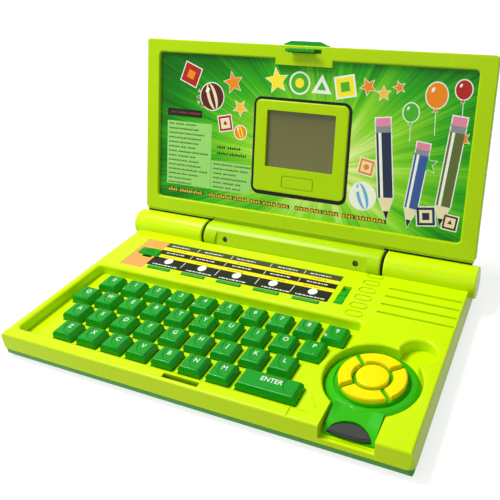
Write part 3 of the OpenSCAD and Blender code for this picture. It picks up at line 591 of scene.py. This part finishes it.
def foot_of_card(p):
    """Five groups of three amber words on dark backing."""
    for i in range(5):
        left = -119 + 39.5 * i
        for k in range(3):
            start = left
            left = word(p, start, 32.3, 8.5 + 2 * ((i + k) % 2), 2.9, "amber", 4)
            half = (left - start) / 2
            blot(p, 4, start + half - 1.0, 32.5, half - 0.4, 1.5, "pine", 2, 0, 0)


def toys_at_left(p):
    """A kite, balls, stars and a block left of the display."""
    kite(p, -99, 128, 12.5, "red", "orange", 24)
    ball(p, -79, 112, 10.5, "maroon", "cream")
    star(p, -60, 124, 8.5, "orange", 14)
    star(p, -53, 105, 6.4, "amber", 40)
    toy_block(p, -66, 92, 11.5, "red", 3, 12)
    ball(p, -52, 86, 5.2, "orange", "yellow")


def toys_at_right(p):
    """Pencils, balloons, a ball, blocks and stars right of the display."""
    pencil(p, 73, 34, 74, 11.0, "night", 7)
    pencil(p, 89, 31, 62, 9.5, "blue", -6)
    pencil(p, 112, 35, 78, 10.0, "olive", -5)
    balloon(p, 101, 126, 8.6, "orange")
    balloon(p, 119, 131, 6.4, "red")
    balloon(p, 84, 113, 6.4, "leaf")
    ball(p, 53.2, 49, 10.0, "white", "sky")
    toy_block(p, 54.5, 71, 11.0, "orange", 32, -10)
    toy_block(p, 102, 41, 13.0, "night", 4, 8)
    toy_block(p, 119.5, 39, 10.0, "maroon", 3, -6)
    star(p, 99.5, 78, 7.0, "leaf", 8)
    star(p, 122, 98, 5.0, "orange", 25)


def lid_motifs():
    """All that is printed on the card's green ground, as one piece."""
    p = []
    for motifs in (panels_of_print, row_of_shapes, foot_of_card, toys_at_left, toys_at_right):
        motifs(p)
    art = join(p)
    place(art, LID_PLANE)
    art.name = art.data.name = "lid_print_toys"
    return art


for piece in (lid_card(), lid_outline(), lid_motifs()):
    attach(piece, "lid")


# ---------------------------------------------------------------- labels on the base

FILM_T = 0.15                        # printed film
LABEL_X = (-99.9, 51.6)              # left and right ends of the table of rows
PATCH = (-120.0, LABEL_X[0], 97.0, 134.2)      # left, right, near and far edge
RECESS = (-120.8, 52.2, 96.6, 134.9)           # of the shallow recess that the label lies in
# Dark olive of the strips at the recess's left and rear edges: painted shade of the recess's walls
RECESS_PAINTED_SHADE = "#7C8E00"
MODE_SLOT = (-106.5, 117.3)          # middle of the mode slider's slot
MODE_SLOT_SIZE = (9.6, 13.6)
ROWS = ((102.6, 114.0, "#12120C"), (114.0, 118.1, "#F2E41E"), (118.1, 123.9, "#12120C"),
        (123.9, 128.2, "#F2E41E"), (128.2, 134.0, "#3C4630"))
DIVIDERS = (-70.5, -40.0, -6.0, 22.3)
COLUMNS = (LABEL_X[0], *DIVIDERS)    # left ends of the five columns
DISCS = (-84.4, -54.1, -24.0, 6.3, 37.6)
DISC_R, DISC_AT = 3.4, 110.6
DIVIDER_SPANS = ((105.6, 113.2), (119.0, 123.2), (129.2, 133.4))
DARK_ROWS = (104.8, 121.2, 131.0)    # middles of the rows of white marks
YELLOW_ROWS = (116.0, 126.0)         # and of the brown ones


def film(name, x1, x2, d1, d2, colour, t=FILM_T):
    """A sheet of printed film between two lines across and two along."""
    obj = card(x2 - x1, d2 - d1, t, 0, on_base((x1 + x2) / 2, (d1 + d2) / 2))
    return settle(obj, name, ink(name + "_film", colour))


def function_label():
    """Printed film behind the function keys: an orange patch and a table in five rows, with two
    dark strips of painted shade along the recess's left and rear edges.
    """
    bits = [film("mode_patch", *PATCH, "#FFA052")]
    cut(bits[0], card(*MODE_SLOT_SIZE, 3, 0, on_base(*MODE_SLOT, -1)))
    for i, (d1, d2, colour) in enumerate(ROWS):
        bits.append(film(f"label_row_{i}", *LABEL_X, d1, d2, colour))
    left, right, near, far = RECESS
    # Strips of painted shade along the recess's left and rear walls
    bits.append(film("recess_left", left, PATCH[0], near, far, RECESS_PAINTED_SHADE, t=0.04))
    bits.append(film("recess_rear", left, right, far - 0.8, far, RECESS_PAINTED_SHADE, t=0.04))
    label = join(bits)
    label.name = label.data.name = "function_label"
    return label


def dash(x, d, long, tall):
    """A printed mark on the label, with its left end at x."""
    return card(long, tall, 0.05, 0, on_base(x + long / 2, d, FILM_T - 0.01))


def label_marks():
    """White discs, dividers and rows of small marks on the label's dark rows."""
    p = [bar(40, DISC_R, 0.1, on_base(x, DISC_AT, FILM_T)) for x in DISCS]
    for x in DIVIDERS:
        for low, high in DIVIDER_SPANS:
            p.append(dash(x - 0.25, (low + high) / 2, 0.5, high - low))
    for row, d in enumerate(DARK_ROWS):
        for i, edge in enumerate(COLUMNS):
            x = edge + 4.5 + 1.5 * ((i + row) % 2)
            for k in range(6 if row else 8):
                long = 1.2 + 0.9 * ((i * 3 + k * 2 + row) % 3)
                p.append(dash(x, d, long, 0.95))
                x += long + 0.75
    return settle(join(p), "label_marks", WHITE_INK)


def yellow_row_marks():
    """Rows of small brown marks on the label's two yellow rows."""
    p = []
    for row, d in enumerate(YELLOW_ROWS):
        for i, edge in enumerate(COLUMNS):
            x = edge + 5.5 + 2.0 * ((i + row) % 2)
            for k in range(5):
                long = 1.1 + 0.8 * ((i * 2 + k + row) % 3)
                p.append(dash(x, d, long, 0.8))
                x += long + 0.8
    return settle(join(p), "yellow_row_marks", ink("screen_print_brown", "#B07C10"))


for piece in (function_label(), label_marks(), yellow_row_marks()):
    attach(piece, "base")


# ---------------------------------------------------------------- key legends

LEGEND_H = 3.4                       # height of a capital
SIGN_H = 2.4                         # type height of the small sign at a number key's corner
LEGEND_AT = (1.1, 1.5)               # from the cap's middle
SIGN_AT = (-5.0, -4.2)
SIGNS = dict(zip("0123456789", ".,-x=+?!:%"))
CAPITAL = 0.7                        # a capital's share of the built-in face's size
PRINT_T = 0.03                       # half the thickness of a legend
PRINT_RISE = 0.02                    # its middle's height over the cap
BOLDER = 0.006                       # that the strokes grow outwards, per mm of height


def legend(words, height, x, y, z):
    """Raised pad print: words as a mesh, centred on a point given in metres."""
    bpy.ops.object.text_add(location=(0, 0, 0))
    obj = bpy.context.object
    obj.data.body = words
    obj.data.size = height * MM / CAPITAL
    obj.data.offset = BOLDER * MM * height
    obj.data.extrude = PRINT_T * MM
    obj.data.align_x = "CENTER"
    obj.data.align_y = "CENTER"
    only(obj)
    bpy.ops.object.convert(target="MESH")
    obj = bpy.context.object
    obj.location = (x, y, z + PRINT_RISE * MM)
    return obj


def key_legends():
    """A letter, number or word on each key, and a small sign on each number key."""
    for node in frame["nodes"]:
        if not node.startswith("key_") or node == "key_membrane":
            continue
        low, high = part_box(node)
        x, y = (low.x + high.x) / 2, (low.y + high.y) / 2
        mark = node[4:].upper()
        prints = [(mark, LEGEND_H, LEGEND_AT)]
        if mark in SIGNS:
            prints.append((SIGNS[mark], SIGN_H, SIGN_AT))
        bits = [legend(words, height, x + dx * MM, y + dy * MM, high.z)
                for words, height, (dx, dy) in prints]
        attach(settle(join(bits), "legend_" + node[4:], WHITE_INK), node + "_cap")


key_legends()


# ---------------------------------------------------------------- screws

HINGE_SCREWS = (-55.5, 56.0)         # x in the pits of the lid's barrel
HINGE_SCREW_FACE = 9.0               # the head's face, from the hinge axis
UNDER_SCREWS = ((-100, -78.8), (49.8, -78.8), (135, -22),
                (-130, 51), (-36, 51), (36, 51), (130, 51))
UNDER_SCREW_FACE = -1.6              # the head's face, from what the toy stands on
HEAD_R, HEAD_T = 1.75, 1.2
CROSS_LONG, CROSS_WIDE = 2.3, 0.55   # one arm of the cross recess
CROSS_DEEP = 0.7
SHANK_R, SHANK_LONG = 1.2, 4.0
SHANK_END = -5.1                     # the shank's end, from the head's face


def cross_screw(name, plane, x, y, z, turn):
    """A pan-head screw with a cross recess and a shank, its face at a height over a plane."""
    head = turn_edges(bar(32, HEAD_R, HEAD_T, (0, 0, -HEAD_T / 2)), 0, 0.5)
    for w, h in ((CROSS_LONG, CROSS_WIDE), (CROSS_WIDE, CROSS_LONG)):
        cut(head, card(w, h, CROSS_DEEP + 0.2, 0, (0, 0, -CROSS_DEEP)))
    shank = turn_edges(bar(16, SHANK_R, SHANK_LONG, (0, 0, SHANK_END + SHANK_LONG / 2)),
                       SHANK_END, 0.4, 2)
    screw = join([head, shank])
    screw.rotation_euler.z = math.radians(turn)
    screw.location = (x * MM, y * MM, z * MM)
    settle(screw, name, ZINC, plane)
    bpy.ops.object.shade_smooth_by_angle(angle=math.radians(30))
    return screw


for i, x in enumerate(HINGE_SCREWS):
    screw = cross_screw(f"hinge_screw_{i}", BARREL_FLAT, x, 0, HINGE_SCREW_FACE, 25 + 40 * i)
    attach(screw, "lid")
for i, (x, y) in enumerate(UNDER_SCREWS):
    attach(cross_screw(f"base_screw_{i}", UNDERSIDE, x, -y, UNDER_SCREW_FACE, 17 * i), "base")


# ---------------------------------------------------------------- ribs on the mode knob

KNOB_W = 19
RIB_PITCH = KNOB_W / 8               # of the knob's own grooves
RIB_OUT = 0.25
KNOB_TOP = 2.25                      # over the base's top
RIB_IN = 0.2                         # that a rib reaches into the knob


def knob_ribs():
    """Low ribs for the fingertip between the mode knob's grooves."""
    x, d = MODE_SLOT
    ribs = []
    for i in (-1.5, -0.5, 0.5, 1.5):
        at = on_base(x + RIB_PITCH * i, d, KNOB_TOP - RIB_IN)
        rib = card(1.1, 5.6, RIB_OUT + RIB_IN, 0.45, at)
        ribs.append(turn_edges(rib, at[2] + RIB_OUT + RIB_IN, 0.12, 2))
    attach(settle(join(ribs), "mode_knob_ribs", KNOB_GREEN), "mode_knob")


knob_ribs()


# ---------------------------------------------------------------- lips, and the dark strips and washers of painted gap shade

HANDS = {"left": -1, "right": 1}
WASHER_X = 76.15                     # middle of the gap between two barrels
WASHER_T = 1.3                       # leaves 0.3 to the side barrel
WASHER_R = 10.9
PIN_HOLE_R = 4.1
# Sizes, and places in the lid's plane: x from the middle, y from the hinge axis, z of the underside
LIP, LIP_AT = (65.4, 1.9, 4.1), (106.6, 13.75, -4.2)
STRIP, STRIP_AT = (64.4, 1.7, 2.7), (106.3, 12.43, -3.1)
TAB, TAB_AT = (WASHER_T, 3.0, 2.5), (WASHER_X, 11.4, -3.1)      # carries the strip into the gap


def on_hand(hand, at):
    """A place on the right side, taken to one side."""
    return HANDS[hand] * at[0], at[1], at[2]


def lid_lip(hand):
    """The lip along the lid's near edge over a side barrel, and under it a near-black strip that is
    painted shade of the gap between lip and barrel.
    """
    lip = turn_edges(card(*LIP, 0.5, on_hand(hand, LIP_AT)), LIP_AT[2] + LIP[2], 0.6)
    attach(settle(lip, "lid_lip_" + hand, LIME_LID_SHADED, LID_PLANE), "lid")
    strip = card(*STRIP, 0, on_hand(hand, STRIP_AT))
    turn_edges(strip, STRIP_AT[2] + STRIP[2], 0.15, 2)
    tab = card(*TAB, 0.2, on_hand(hand, TAB_AT))
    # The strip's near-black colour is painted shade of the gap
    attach(settle(join([strip, tab]), "lid_seal_" + hand, GAP_SHADE, LID_PLANE), "lid")


def barrel_washer(hand):
    """A near-black washer on the hinge pin, in the gap between the lid's barrel and a side barrel;
    its dark colour is painted shade of that gap.
    """
    middle = HINGE_AT / MM + Vector(on_hand(hand, (WASHER_X, 0, 0)))
    rings = [bar(96, radius, thick, middle, (0, math.pi / 2, 0))
             for radius, thick in ((WASHER_R, WASHER_T), (PIN_HOLE_R, 4.0))]
    # Near-black: painted shade of the gap between the barrels
    washer = settle(cut(*rings), "barrel_washer_" + hand, GAP_SHADE)
    bpy.ops.object.shade_smooth_by_angle(angle=math.radians(30))
    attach(washer, "lid")


for hand in HANDS:
    lid_lip(hand)
    barrel_washer(hand)

LINE_OUT = 0.3                       # that the strip stands out over the lower shell's wall
LINE_IN = 0.6                        # that it reaches into that wall
LINE_H = 0.4
SHELL_CORNER = 4.5                   # of the lower shell


def parting_line():
    """The dark line between the shells: a thin near-black strip in the step under the upper shell's
    edge, painted shade of the shadow gap there.
    """
    low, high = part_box("base_bottom_shell")
    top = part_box("base_top_shell")[0].z / MM
    wide, deep = (high.x - low.x) / MM, (high.y - low.y) / MM
    strip = card(wide + 2 * LINE_OUT, deep + 2 * LINE_OUT, LINE_H, SHELL_CORNER + LINE_OUT,
                 (0, 0, top - LINE_H))
    hole = card(wide - 2 * LINE_IN, deep - 2 * LINE_IN, LINE_H + 2, SHELL_CORNER - LINE_IN,
                (0, 0, top - LINE_H - 1))
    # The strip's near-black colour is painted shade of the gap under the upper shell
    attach(settle(cut(strip, hole), "parting_line", GAP_SHADE), "base")


parting_line()


# ---------------------------------------------------------------- arrows on the controller's arcs

PAD_AT = (104.4, 45.2, -1.0)         # on the axis of the controller's pad
PAD_TILT = -3.0                      # degrees that the pad leans, its front up
PAD_PLANE = Matrix.Translation(at_base(*PAD_AT)) @ Matrix.Rotation(math.radians(PAD_TILT), 4, "X")
PAD_TOP = 2.6                        # the arcs' tops over that plane
ARROW_AT = 16.2                      # from the pad's middle
ARROW_OUT = 0.12
ARROW_T = 0.4


def pad_arrow(side, turn):
    """A low moulded arrow on one of the four arcs, that points away from the centre button."""
    top = PAD_TOP + ARROW_OUT
    arrow = turn_edges(bar(3, 1.6, ARROW_T, (0, ARROW_AT, top - ARROW_T / 2)), top, 0.08, 2)
    arrow.rotation_euler.z = math.radians(turn)
    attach(settle(arrow, "arrow_" + side, YELLOW, PAD_PLANE), "pad_" + side)


for side, turn in (("right", -90), ("up", 0), ("left", 90), ("down", 180)):
    pad_arrow(side, turn)


# ---------------------------------------------------------------- light, floor and camera

SKY = 0.27                           # light of the white room on the toy
FLOOR_GLOW = 0.74                    # that the floor glows near the toy, so that it clips to white
LAMPS = (                            # name, place and size in metres, watts
    ("overhead_light", (-0.50, 0.00, 1.00), 0.4, 0.4, 12.6),
    ("strip_light", (-0.55, -0.80, 0.80), 1.3, 0.09, 2.6),
    ("front_light", (0.35, -1.20, 0.55), 0.8, 0.8, 1.0),
)
LIT_POINT = Vector((0, 0, 0.05))
CAMERA_AT = (0.19217, -0.28482, 0.26910)
CAMERA_TURN = (61.9191, 2.6365, 22.3692)       # degrees
CAMERA_SHIFT = (-0.1622, -0.0810)
LENS, SENSOR = 43.46, 36.0                     # mm


def seen_directly(tree):
    """1 for a camera, mirror or glass ray, and 0 for the rays that light the toy."""
    rays = add(tree, "ShaderNodeLightPath").outputs
    some = add(tree, "ShaderNodeMath", {0: rays["Is Camera Ray"], 1: rays["Is Glossy Ray"]},
               operation="MAXIMUM")
    return add(tree, "ShaderNodeMath", {0: some.outputs[0], 1: rays["Is Transmission Ray"]},
               operation="MAXIMUM").outputs[0]


def white_floor():
    """A matt pale floor that the eye sees as white outside the toy's soft shadow."""
    mat, tree, shader = new_material("pale_floor")
    shader.inputs["Base Color"].default_value = linear("#C4C4C2")
    shader.inputs["Roughness"].default_value = 1.0
    shader.inputs["Specular IOR Level"].default_value = 0.0
    shader.inputs["Emission Color"].default_value = linear("#FFFFFF")
    where = add(tree, "ShaderNodeTexCoord").outputs["Object"]
    far = add(tree, "ShaderNodeVectorMath", {0: where}, operation="LENGTH").outputs["Value"]
    level = add(tree, "ShaderNodeMapRange", {
        "Value": far, "From Min": 0.35, "From Max": 0.9, "To Min": FLOOR_GLOW, "To Max": 1.0})
    glow = add(tree, "ShaderNodeMath", {0: seen_directly(tree), 1: level.outputs["Result"]},
               operation="MULTIPLY")
    tree.links.new(glow.outputs[0], shader.inputs["Emission Strength"])
    return mat


def white_room():
    """A world that lights the toy softly, and that a ray that sees it sees as white."""
    world = bpy.data.worlds.new("studio")
    scene.world = world
    world.use_nodes = True
    tree = world.node_tree
    background = tree.nodes["Background"]
    background.inputs["Color"].default_value = linear("#FFFFFF")
    strength = add(tree, "ShaderNodeMapRange", {
        "Value": seen_directly(tree), "To Min": SKY, "To Max": 1.0})
    tree.links.new(strength.outputs["Result"], background.inputs["Strength"])


def floor_and_light():
    """The floor, the room round it and three lamps turned to the toy."""
    bpy.ops.mesh.primitive_plane_add(size=8, location=(0, 0, 0))
    floor = bpy.context.object
    floor.name = "floor"
    floor.data.materials.append(white_floor())
    white_room()
    for name, spot, wide, high, watts in LAMPS:
        bpy.ops.object.light_add(type="AREA", location=spot)
        lamp = bpy.context.object
        lamp.name = name
        lamp.data.shape = "RECTANGLE"
        lamp.data.size = wide
        lamp.data.size_y = high
        lamp.data.energy = watts
        lamp.rotation_euler = (LIT_POINT - Vector(spot)).to_track_quat("-Z", "Y").to_euler()


def camera():
    """A camera over the right front corner, shifted so that the toy fills the view."""
    bpy.ops.object.camera_add(location=CAMERA_AT,
                              rotation=[math.radians(angle) for angle in CAMERA_TURN])
    cam = bpy.context.object
    cam.data.lens, cam.data.sensor_width = LENS, SENSOR
    cam.data.shift_x, cam.data.shift_y = CAMERA_SHIFT
    cam.data.clip_start = 0.01
    scene.camera = cam


scene.view_settings.view_transform = "Standard"
floor_and_light()
camera()
